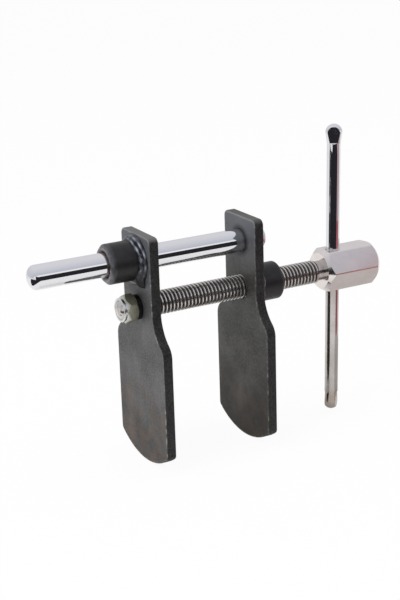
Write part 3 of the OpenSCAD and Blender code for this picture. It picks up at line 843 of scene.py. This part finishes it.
def weld_shell(x_face, away, radius, axis_z, seed, drip):
    """A fillet bead in two runs round a tube that stands on a plate: a bulged quarter superellipse from tube
    to plate whose legs swell and shrink with a few sines round the tube. Lumps are raised along its normal, a
    slit between the two runs is sunk along it, and a drip draws its edge out at one place. The bead's edges
    are marked as darker, the slit and the downward side at the drip with painted shade, and the ridges beside
    the slit with painted highlights."""
    s = settings().turned
    columns, across_bead, shift = 288, 29, 41
    bulge, sunk, wander = 1.3, 0.3 * MM, 0.08
    slit_width, ridge_at, ridge_width = 0.08, 0.17, 0.07
    drip_spread, slit_spread, underside_shade_spread = radians(10), radians(48), radians(68)
    around = circle_of(columns)[None]
    t = np.linspace(0, 1, across_bead)[:, None]
    swell = 0.5 * np.sin(3 * around + seed) + 0.3 * np.sin(5 * around + 2.3 * seed)
    along = s.weld_along * (1 + 0.12 * swell)
    out = s.weld_out * (1 + 0.13 * np.roll(swell, shift, 1)) + drip * hump(around, s.drip_at, drip_spread)
    lumps = s.weld_lump * (np.sin(9 * around + 4 * t + seed) + 0.6 * np.sin(17 * around - 7 * t + 2 * seed))
    from_slit = t - 0.5 - wander * np.sin(2 * around + seed)
    between = np.exp(-(from_slit / slit_width) ** 2)
    shown = hump(around, s.slit_at, slit_spread)
    lumps = lumps * (0.4 + 0.6 * shown)
    slit = s.weld_slit * between * shown
    raised = (lumps - slit) * np.sin(pi * t)
    axial = along * np.cos(pi * t / 2) ** bulge + raised * np.sin(pi * t / 2)
    radial = out * np.sin(pi * t / 2) ** bulge + raised * np.cos(pi * t / 2)
    sink = np.full_like(around, sunk)
    r = radius + np.concatenate([radial, out, -sink, -sink])
    x = x_face + away * np.concatenate([axial, -sink, -sink, along])
    grid = about_x(x, r, around, axis_z)
    rows = len(grid)
    hidden = (rows - across_bead) * columns
    # Painted shade in the slit and on the bead's downward side round the drip.
    slit_and_underside_shade = np.maximum(0.9 * between * shown, hump(around, s.drip_at, underside_shade_spread))
    dark = np.broadcast_to(np.maximum(np.abs(2 * t - 1) ** 6, slit_and_underside_shade), (across_bead, columns))
    toe = np.concatenate([dark.ravel(), np.ones(hidden)])
    # Painted highlights on the ridges beside the slit.
    beside = np.exp(-((np.abs(from_slit) - ridge_at) / ridge_width) ** 2)
    ridges = beside * shown * (0.6 + 0.4 * np.sin(13 * around + 5 * t))
    gleam = np.concatenate([ridges.ravel(), np.zeros(hidden)])
    return shell(grid.reshape(-1, 3), grid_faces(rows, columns, True), values={"toe": toe, "gleam": gleam})


class PISTON_OT_welds(Operator):
    """Makes the three fillet welds with their lumps, slits and drip"""
    bl_idname = "piston_tool.welds"
    bl_label = "Weld beads"

    def execute(self, context):
        bead, crease = weld_metal(), radians(70)
        drip = settings().turned.drip
        outside, inside = LOW["sliding_plate"][0], HIGH["fixed_plate"][0]
        for name, body, cad, tube, x_face, away, axis_z, seed, hang in (
                ("weld_collar", "sliding_jaw", "collar_weld", "guide_collar", outside, -1, ROD_Z, 1.7, drip),
                ("weld_boss", "fixed_jaw", "boss_weld", "threaded_boss", inside, 1, SCREW_Z, 0.6, 0.0),
                ("weld_rod", "fixed_jaw", "rod_weld", "guide_rod", inside, 1, ROD_Z, 2.9, 0.0)):
            made = weld_shell(x_face, away, half_across(tube), axis_z, seed, hang)
            put_piece(name, [made], body, [cad], bead, sharp=crease)
        return {"FINISHED"}


def thread_shell(x0, x1, radius):
    """A right-hand thread on the line at SCREW_Z: r = R - depth (1 - h), where h goes smoothly from 1 on the
    crest to 0 in the root with the phase x / pitch - a / 2 pi; both ends are cut by a chamfer at 45 degrees.
    The normals are the cross product of the grid's two directions."""
    s = settings().screw
    crest, flank = 0.34, 0.34
    rows_per_turn, columns = 18, 80
    rows = int(round((x1 - x0) / s.pitch * rows_per_turn))
    x = np.linspace(x0, x1, rows + 1)[:, None]
    around = circle_of(columns)[None]
    phase = np.abs(2 * ((x / s.pitch - around / (2 * pi)) % 1.0) - 1)
    slope = np.clip((phase - crest) / flank, 0, 1)
    low = slope * slope * (3 - 2 * slope)
    r = np.minimum(radius - s.depth * low, radius - s.chamfer + np.minimum(x - x0, x1 - x))
    grid = about_x(x, r, around, SCREW_Z)
    normals = np.cross(np.gradient(grid, axis=0), np.roll(grid, -1, 1) - np.roll(grid, 1, 1))
    normals /= np.linalg.norm(normals, axis=-1, keepdims=True)
    outward = np.sign((normals[:, :, 1] * np.cos(around) + normals[:, :, 2] * np.sin(around)).sum())
    ends = [[-1.0, 0, 0], [1.0, 0, 0]]
    made = capped(grid, [[x0, 0, SCREW_Z], [x1, 0, SCREW_Z]])
    return shell(*made, np.concatenate([outward * normals.reshape(-1, 3), ends]),
                 {"root": np.concatenate([low.ravel(), [0.5, 0.5]])})


class PISTON_OT_screw(Operator):
    """Makes the lead screw with its helical thread, journal and neck"""
    bl_idname = "piston_tool.screw"
    bl_label = "Lead screw"

    def execute(self, context):
        s = settings().screw
        lap, spigot = 0.5 * MM, 4 * MM
        head = LOW["hex_head"][0]
        thread_end = head - s.neck_length
        thread_start = thread_end - s.thread_length
        journal, neck = s.journal_diameter / 2, s.neck_diameter / 2
        waist = [(thread_end - lap, 0, 0), (thread_end - lap, neck, BREAK_EDGE / 2),
                 (head + spigot, neck, BREAK_EDGE), (head + spigot, 0, 0)]
        shells = [thread_shell(thread_start, thread_end, half_across("lead_screw")),
                  self.tip_shell(thread_start + lap, journal), turned_shell(waist, SCREW_Z, False, 80)]
        put_piece("screw_threaded", shells, "spindle", ["lead_screw"], threaded_steel())
        return {"FINISHED"}

    def tip_shell(self, x1, journal):
        """The journal with its peened tip: a cap of a sphere, whose radius is (a a + h h) / 2 h for the foot
        a and the height h. Hammer dents move the cap's points in by depth exp(-d d / width width), where d is
        the distance from a dent in Y and Z, and the normals lean with the slope."""
        s = settings().screw
        foot, sunk, foot_round = s.tip_radius, 0.5 * MM, 0.2 * MM
        rim = LOW["lock_nut"][0] + s.rim_fold
        tip, edge = rim - s.tip_proud, rim + sunk
        high = edge - tip
        ball = (foot ** 2 + high ** 2) / (2 * high)
        crown = ball * tan(asin(foot / ball) / 2)
        profile = [(tip, 0, 0), (tip, crown, DOME_SHARE * ball), (edge, foot, foot_round),
                   (edge + sunk, journal, BREAK_EDGE), (x1, journal, BREAK_EDGE), (x1, 0, 0)]
        made = turned_shell(profile, SCREW_Z, False, segments=96, steps=24)
        dents = np.array([(-1.3, 0.8, 0.3, 1.0), (-2.5, -1.2, 0.26, 0.8), (0.6, -0.7, 0.24, 1.1),
                          (-0.7, 2.6, 0.26, 0.9), (1.9, 1.3, 0.2, 1.0), (-1.1, -2.9, 0.24, 0.8)]) * MM
        dent_y, dent_z, depth, width = dents.T
        points, normals = made["points"], made["normals"]
        off_y, off_z = points[:, 1, None] - dent_y, points[:, 2, None] - SCREW_Z - dent_z
        fall = depth * np.exp(-(off_y ** 2 + off_z ** 2) / width ** 2) * (points[:, :1] < edge)
        lean = -2 * fall / width ** 2
        steep = np.abs(normals[:, 0])
        points[:, 0] += fall.sum(1)
        normals[:, 1] += steep * (lean * off_y).sum(1)
        normals[:, 2] += steep * (lean * off_z).sum(1)
        normals /= np.linalg.norm(normals, axis=1, keepdims=True)
        return made


def hexagon(angles, flats, corner, rounding):
    """Radius of a hexagon across flats at each angle, with a corner at the angle corner: a flat gives half
    the flats over the cosine of the angle from its middle; a rounded corner gives the distance to an arc
    about a centre on the corner's own ray."""
    from_corner = (angles - corner + pi / 6) % (pi / 3) - pi / 6
    flat = flats / 2 / np.cos(pi / 6 - np.abs(from_corner))
    centre = (flats / 2 - rounding) / cos(pi / 6)
    inside = np.maximum(rounding ** 2 - (centre * np.sin(from_corner)) ** 2, 0)
    tangent = atan(rounding * sin(pi / 6) / (centre + rounding * cos(pi / 6)))
    return np.where(np.abs(from_corner) < tangent, centre * np.cos(from_corner) + np.sqrt(inside), flat)


def hexed_grid(x, r, around):
    """A grid about the screw's axis from lists of rows, each row one number or a value for each angle."""
    x, r = (np.stack([np.broadcast_to(row, around.shape) for row in rows]) for rows in (x, r))
    return about_x(x, r, around, SCREW_Z)


class PISTON_OT_nut(Operator):
    """Makes the thrust washer, the lock nut with its rolled rim, and the nylon ring"""
    bl_idname = "piston_tool.nut"
    bl_label = "Washer and lock nut"

    def execute(self, context):
        s = settings().screw
        washer_round, ring_round, crease = 0.45 * MM, 0.3 * MM, radians(28)
        x0, x1 = ends_of("thrust_washer")
        outer, bore = half_across("thrust_washer"), s.journal_diameter / 2 + s.washer_gap
        disc = [(x0, bore, BREAK_EDGE), (x0, outer, washer_round), (x1, outer, washer_round),
                (x1, bore, BREAK_EDGE)]
        put_piece("washer_disc", [turned_shell(disc, SCREW_Z, True)], "spindle", ["thrust_washer"],
                  black_washer())
        bore, recess = s.journal_diameter / 2, half_across("nut_insert")
        put_piece("nut_hex", [self.nut_shell(bore, recess)], "spindle", ["lock_nut"],
                  zinc_plate(), sharp=crease)
        x0, x1 = ends_of("nut_insert")
        ring = [(x0, bore, ring_round), (x0, recess, BREAK_EDGE), (x1, recess, BREAK_EDGE),
                (x1, bore, BREAK_EDGE)]
        put_piece("nut_ring", [turned_shell(ring, SCREW_Z, True, 96)], "spindle", ["nut_insert"],
                  natural_nylon())
        return {"FINISHED"}

    def nut_shell(self, bore, recess):
        """The nut as a closed loop of (x, r) rows round the axis: a half circle for the curled lip, the rim,
        a hexagon cut by a cone at 45 degrees at each end, the bore, and the recess behind the lip."""
        s = settings().screw
        start, x1 = ends_of("lock_nut")
        x0, base = start + s.rim_fold, start + s.rim_length
        flats, rim, lip = s.nut_flats, s.rim_diameter / 2, s.lip_radius
        waist, corner_round, columns, lip_rows = 0.1 * MM, 0.25 * MM, 192, 12
        around = circle_of(columns)
        hexed = hexagon(around, flats, pi / 2, corner_round)
        lead = hexed - rim + waist
        seat = flats / 2
        curl = np.linspace(0, pi, lip_rows)
        lip_x, lip_r = x0 + lip - lip * np.sin(curl), rim - lip - lip * np.cos(curl)
        pocket = HIGH["nut_insert"][0]
        x = [*lip_x, base - 3 * waist, base, base + lead, x1 - (hexed - seat), x1, x1, pocket, pocket,
             x0 + 2 * lip]
        r = [*lip_r, rim - waist, rim - waist, hexed, hexed, seat - waist, bore, bore, recess, recess]
        bright = np.array([1.0] * lip_rows + [1.0, 0.9, 0.2, 0.0, 0.5, 0.2, 0.2, 0.2, 0.6])
        grid = hexed_grid(x, r, around)
        return shell(grid.reshape(-1, 3), grid_faces(len(grid), columns, True),
                     values={"bright": np.repeat(bright, columns)})


def cut_away(piece, made):
    """Cuts a shell out of a piece's mesh with an exact boolean, and leaves the result as its mesh."""
    mesh = bpy.data.meshes.new("cutter")
    mesh.from_pydata(made["points"].tolist(), [], made["quads"].tolist() + made["tris"].tolist())
    cutter = bpy.data.objects.new("cutter", mesh)
    bpy.context.scene.collection.objects.link(cutter)
    cut = piece.modifiers.new("cut", "BOOLEAN")
    cut.object, cut.operation, cut.solver = cutter, "DIFFERENCE", "EXACT"
    bpy.context.view_layer.update()
    done = bpy.data.meshes.new_from_object(piece.evaluated_get(bpy.context.evaluated_depsgraph_get()))
    piece.modifiers.clear()
    old, piece.data = piece.data, done
    bpy.data.meshes.remove(old)
    bpy.data.meshes.remove(mesh)


def bar_station():
    """Where the middle of the head's cross hole lies along X."""
    return LOW["hex_head"][0] + settings().drive.hole_station


class PISTON_OT_head(Operator):
    """Makes the hex head with turned ends, rounded corners and its countersunk cross hole"""
    bl_idname = "piston_tool.head"
    bl_label = "Hex head"

    def execute(self, context):
        crease = radians(24)
        piece = put_piece("head_hex", [self.blank_shell()], "spindle", ["hex_head"],
                          satin_nickel())
        cut_away(piece, self.hole_shell())
        piece.data.set_sharp_from_angle(angle=crease)
        return {"FINISHED"}

    def blank_shell(self):
        """The hexagon's outline carried along X, cut at both ends by a cone at 45 degrees: a row of radius r
        stands r - face radius in from the end face. A narrow band beside each cone is marked as turned."""
        s = settings().drive
        x0, x1 = ends_of("hex_head")
        flats, face = 2 * half_across("hex_head"), s.face_diameter / 2
        band = 0.3 * MM
        one_side = np.radians([-3.4, -2.7, -2, -1, 0, 1, 2, 2.7, 3.4, *range(6, 58, 4)])
        around = np.sort(np.concatenate([k * pi / 3 + one_side for k in range(6)]) % (2 * pi))
        hexed = hexagon(around, flats, 0.0, s.corner_radius)
        turn = hexed - face
        x = [x0, x0, x0 + turn, x0 + turn + band, x1 - turn - band, x1 - turn, x1, x1]
        r = [face / 2, face, hexed, hexed, hexed, hexed, face, face / 2]
        ends = np.array([1.0, 1, 1, 0, 0, 1, 1, 1])
        made = capped(hexed_grid(x, r, around), [[x0, 0, SCREW_Z], [x1, 0, SCREW_Z]])
        return shell(*made, values={"turned": np.concatenate([np.repeat(ends, len(around)), [1, 1]])})

    def hole_shell(self):
        """The cross hole as a profile of (z, r) rows turned about the upright line through its station."""
        s = settings().drive
        over, columns = 2 * MM, 96
        bar_x = bar_station()
        hole, sink, high = s.hole_diameter / 2, s.hole_sink, half_across("hex_head")
        upper = np.array([high - sink, high, high + over])
        wider = np.array([hole, hole + sink, hole + sink + over])
        z, r = np.concatenate([-upper[::-1], upper])[:, None], np.concatenate([wider[::-1], wider])[:, None]
        around = circle_of(columns)[None] + pi / columns
        grid = np.stack([bar_x + r * np.cos(around), r * np.sin(around),
                         np.broadcast_to(SCREW_Z + z, (len(z), columns))], -1)
        return shell(*capped(grid, [[bar_x, 0, SCREW_Z - high - over], [bar_x, 0, SCREW_Z + high + over]]))


class PISTON_OT_bar(Operator):
    """Makes the chrome tommy bar with its two pinched ends"""
    bl_idname = "piston_tool.bar"
    bl_label = "Tommy bar"

    def execute(self, context):
        chrome, crease = bpy.data.materials["polished chrome plate"], radians(24)
        put_piece("bar_pinched", [self.bar_shell()], "tommy_bar", ["tommy_bar"], chrome,
                  sharp=crease)
        return {"FINISHED"}

    def bar_shell(self):
        """Rows of a round section of radius w that is cut flat at the distance f on two sides: the radius at
        the angle a from a flat's middle is the smaller of w and f / cos a. Both ends flare, are pressed flat
        after a sloped step and end in a dome; the section twists from the lower end to the upper one. The bar
        then drops along its own axis, leans about Y and turns about Z."""
        s = settings().drive
        least_flat, tiny, step_run, film_start, film_most = radians(0.5), 1e-6, 0.5 * MM, 0.4, 0.5
        flare_rows, dome_rows, shank_rows, flat_columns, round_columns = 8, 13, 26, 12, 32
        bar, wide, thick = s.bar_diameter / 2, s.pinch_width / 2, s.pinch_thickness / 2
        flare, plain = s.pinch_length - wide, s.bar_length / 2 - s.pinch_length
        run = np.concatenate([[0, step_run], np.linspace(2 * step_run, flare, flare_rows)])
        curl = np.linspace(0, pi / 2, dome_rows)[1:-1]
        out = np.concatenate([run, flare + wide * np.sin(curl)])
        width = np.concatenate([bar + (wide - bar) * run / flare, wide * np.cos(curl)])
        start = bar - s.pinch_step
        flat = np.concatenate([[bar], start + (thick - start) * out[1:] / s.pinch_length])
        shank = np.linspace(-1, 1, shank_rows)[1:-1]
        z = np.concatenate([-plain - out[::-1], plain * shank, plain + out])[:, None]
        width = np.concatenate([width[::-1], np.full(len(shank), bar), width])[:, None]
        flat = np.concatenate([flat[::-1], np.full(len(shank), bar), flat])[:, None]
        twist = np.concatenate([np.ones(len(out)), (1 - shank) / 2, np.zeros(len(out))])[:, None]
        edge = np.maximum(np.arccos(np.clip(flat / width, -1, 1)), least_flat)
        lay = np.linspace(-1, 1, flat_columns, endpoint=False)[None]
        roll = np.linspace(0, 1, round_columns, endpoint=False)[None]
        side = np.concatenate([edge * lay, edge + (pi - 2 * edge) * roll], 1)
        around = np.concatenate([side, side + pi], 1)
        reach = np.minimum(width, flat / np.maximum(np.abs(np.cos(around)), tiny))
        turned = around + s.pinch_twist * twist - pi / 2
        grid = np.stack([reach * np.cos(turned), reach * np.sin(turned), np.broadcast_to(z, reach.shape)], -1)
        tip = s.bar_length / 2
        points, quads, tris = capped(grid, [[0, 0, -tip], [0, 0, tip]])
        # The lower half is marked for duller chrome and painted shade.
        dull = np.clip(0.5 - points[:, 2] / s.hole_diameter, 0, 1)
        soiled = np.clip(film_start - (plain + points[:, 2]) / s.pinch_length, 0, film_most)
        x, y, z = (points - [0, 0, s.bar_drop]).T
        x, z = x * cos(s.bar_lean) + z * sin(s.bar_lean), z * cos(s.bar_lean) - x * sin(s.bar_lean)
        x, y = x * cos(s.bar_turn) - y * sin(s.bar_turn), x * sin(s.bar_turn) + y * cos(s.bar_turn)
        return shell(np.stack([bar_station() + x, y, SCREW_Z + z], -1), quads, tris,
                     values={"dull": dull, "soiled": soiled})


def card(name, points, faces, material, glossy_only):
    """A card of the studio; one that is glossy_only shows in reflections alone."""
    mesh = bpy.data.meshes.new(name)
    mesh.from_pydata(points, [], faces)
    made = bpy.data.objects.new(name, mesh)
    bpy.context.scene.collection.objects.link(made)
    mesh.materials.append(material)
    if glossy_only:
        made.visible_camera = made.visible_diffuse = made.visible_shadow = made.visible_transmission = False


def glowing(name, value):
    """A studio card that shines evenly, so that mirrors see its colour as it is written."""
    material, tree, surface = new_material(name)
    wire(tree, surface, {"Base Color": toned(value, 0.0), "Specular IOR Level": 0.0,
                         "Emission Color": toned(value), "Emission Strength": 1.0})
    return material


class PISTON_OT_stage(Operator):
    """Makes the camera, the pale floor, the white surroundings, the cards and the soft lamps"""
    bl_idname = "piston_tool.stage"
    bl_label = "Studio and camera"

    def execute(self, context):
        s = settings().stage
        sensor, nearest = 36.0, 0.01
        context.scene.view_settings.view_transform = "Standard"
        data = bpy.data.cameras.new("camera")
        data.lens, data.sensor_width, data.clip_start = s.lens, sensor, nearest
        camera = bpy.data.objects.new("camera", data)
        camera.location, camera.rotation_euler = s.camera_place, s.camera_turn
        context.scene.collection.objects.link(camera)
        context.scene.camera = camera
        self.surround(context.scene)
        self.floor()
        self.cards()
        target = Vector((0.0, 0.0, 0.03))
        for name, place, size, power in (("key lamp", Vector((-0.65, -0.15, 0.8)), 0.6, s.key),
                                         ("fill lamp", Vector((0.75, -0.05, 0.65)), 0.8, s.fill)):
            lamp = bpy.data.lights.new(name, "AREA")
            lamp.shape, lamp.size, lamp.energy = "DISK", size, power
            held = bpy.data.objects.new(name, lamp)
            held.location = place
            held.visible_glossy = False
            held.rotation_euler = (target - place).to_track_quat("-Z", "Y").to_euler()
            context.scene.collection.objects.link(held)
        return {"FINISHED"}

    def surround(self, scene):
        """The world: the camera sees plain white, mirrors see a grey sky that pales from the front over the
        top, white below it, and the light on the object is strongest from above, behind and the left."""
        s = settings().stage
        brightest, palest, dimmest, blend = (-0.30, 0.42, 0.86), (0.0, 0.5, 0.866), 0.2, 0.03
        scene.world = bpy.data.worlds.new("white studio")
        scene.world.use_nodes = True
        tree = scene.world.node_tree
        look = node(tree, "TexCoord", {}, "Generated")
        towards = node(tree, "VectorMath", {0: look, 1: brightest}, "Value", operation="DOT_PRODUCT")
        glow = node(tree, "MapRange", {0: towards, 1: -0.6, 2: 0.9, 3: dimmest * s.sky, 4: s.sky})
        over = node(tree, "VectorMath", {0: look, 1: palest}, "Value", operation="DOT_PRODUCT")
        sky = layers(tree, toned(s.haze), (node(tree, "MapRange", {0: over, 2: 0.9}), toned(s.zenith)))
        above = node(tree, "MapRange", {0: over, 1: -blend, 2: blend})
        lit = node(tree, "Background", {"Color": WHITE, "Strength": glow})
        mirror = node(tree, "Background", {"Color": layers(tree, WHITE, (above, sky))})
        plain = node(tree, "Background", {"Color": WHITE})
        for ray, seen in (("Is Glossy Ray", mirror), ("Is Camera Ray", plain),
                          ("Is Transmission Ray", plain)):
            lit = node(tree, "MixShader", {0: node(tree, "LightPath", {}, ray), 1: lit, 2: seen})
        tree.links.new(lit, tree.nodes["World Output"].inputs["Surface"])

    def floor(self):
        """A matt white floor that mixes its lit self, which keeps the shadow, with plain white: mostly white
        to the camera, less so in mirrors, and none of it in the light that it throws back."""
        s = settings().stage
        span, matt, to_camera, to_mirror = 3.0, 0.9, 0.94, 0.2
        material, tree, surface = new_material("matt white floor")
        wire(tree, surface, {"Base Color": toned(s.floor), "Roughness": matt})
        white = node(tree, "Emission", {"Color": toned(s.floor), "Strength": 1.0})
        share = 0.0
        for ray, part in (("Is Camera Ray", to_camera), ("Is Transmission Ray", to_camera),
                          ("Is Glossy Ray", to_mirror)):
            share = node(tree, "Math", {0: node(tree, "LightPath", {}, ray), 1: part, 2: share},
                         operation="MULTIPLY_ADD")
        shown = node(tree, "MixShader", {0: share, 1: surface.outputs[0], 2: white})
        tree.links.new(shown, tree.nodes["Material Output"].inputs["Surface"])
        corners = [(x * span, y * span, FLOOR_Z) for x, y in ((-1, -1), (1, -1), (1, 1), (-1, 1))]
        card("floor", corners, [(0, 1, 2, 3)], material, False)

    def cards(self):
        """Cards that only mirrors see: a dark sector on the floor in front and on the left with a dark wall
        at its rim, which give the rod, the screw and the bar their black bands, a warm arc on the right with
        a paler one above it, and a grey patch under the head."""
        s = settings().stage
        low = FLOOR_Z + 0.5 * MM
        dark, warm = glowing("dark studio card", s.dark), glowing("warm studio card", s.warm)
        patch, pale = glowing("grey studio card", s.patch), glowing("pale studio card", s.pale)
        bar_x, count = bar_station(), 24
        for name, material, first, last, rows in (
                ("dark_sector", dark, -197.0, -52.0, ((0.27, low), (0.8, low))),
                ("dark_wall", dark, -150.0, -52.0, ((0.8, low), (0.8, 0.3))),
                ("warm_arc", warm, -60.0, -17.0, ((0.12, low), (0.12, 0.04))),
                ("pale_arc", pale, -60.0, -17.0, ((0.12, 0.04), (0.12, 0.11))),
                ("grey_patch", patch, -70.0, 70.0, ((0.02, low), (0.118, low)))):
            turn = np.radians(np.linspace(first, last, count))
            points = [(bar_x + r * x, r * y, z) for r, z in rows for x, y in zip(np.cos(turn), np.sin(turn))]
            faces = [(k + i, k + i + 1, k + count + i + 1, k + count + i)
                     for k in range(0, count * (len(rows) - 1), count) for i in range(count - 1)]
            card(name, points, faces, material, True)


OPERATORS = (PISTON_OT_plates, PISTON_OT_turned, PISTON_OT_welds, PISTON_OT_screw, PISTON_OT_nut,
             PISTON_OT_head, PISTON_OT_bar, PISTON_OT_stage)


class PISTON_PT_panel(Panel):
    """Lists the steps that make the piston tool"""
    bl_idname = "PISTON_PT_panel"
    bl_label = "Piston tool"
    bl_space_type = "VIEW_3D"
    bl_region_type = "UI"
    bl_category = "Piston tool"

    def draw(self, context):
        for step in OPERATORS:
            self.layout.operator(step.bl_idname)


CLASSES = (PlateSettings, TurnedSettings, ScrewSettings, DriveSettings, StageSettings, PistonToolSettings,
           *OPERATORS, PISTON_PT_panel)


def register():
    """Registers the classes and hangs the settings on the scene."""
    for each in CLASSES:
        bpy.utils.register_class(each)
    bpy.types.Scene.piston_tool = PointerProperty(type=PistonToolSettings)


def unregister():
    """Takes away what register added."""
    del bpy.types.Scene.piston_tool
    for each in reversed(CLASSES):
        bpy.utils.unregister_class(each)


def main():
    """Makes every piece in order."""
    register()
    steps = bpy.ops.piston_tool
    for step in (steps.plates, steps.turned, steps.welds, steps.screw, steps.nut, steps.head, steps.bar,
                 steps.stage):
        step()


if __name__ == "__main__":
    main()
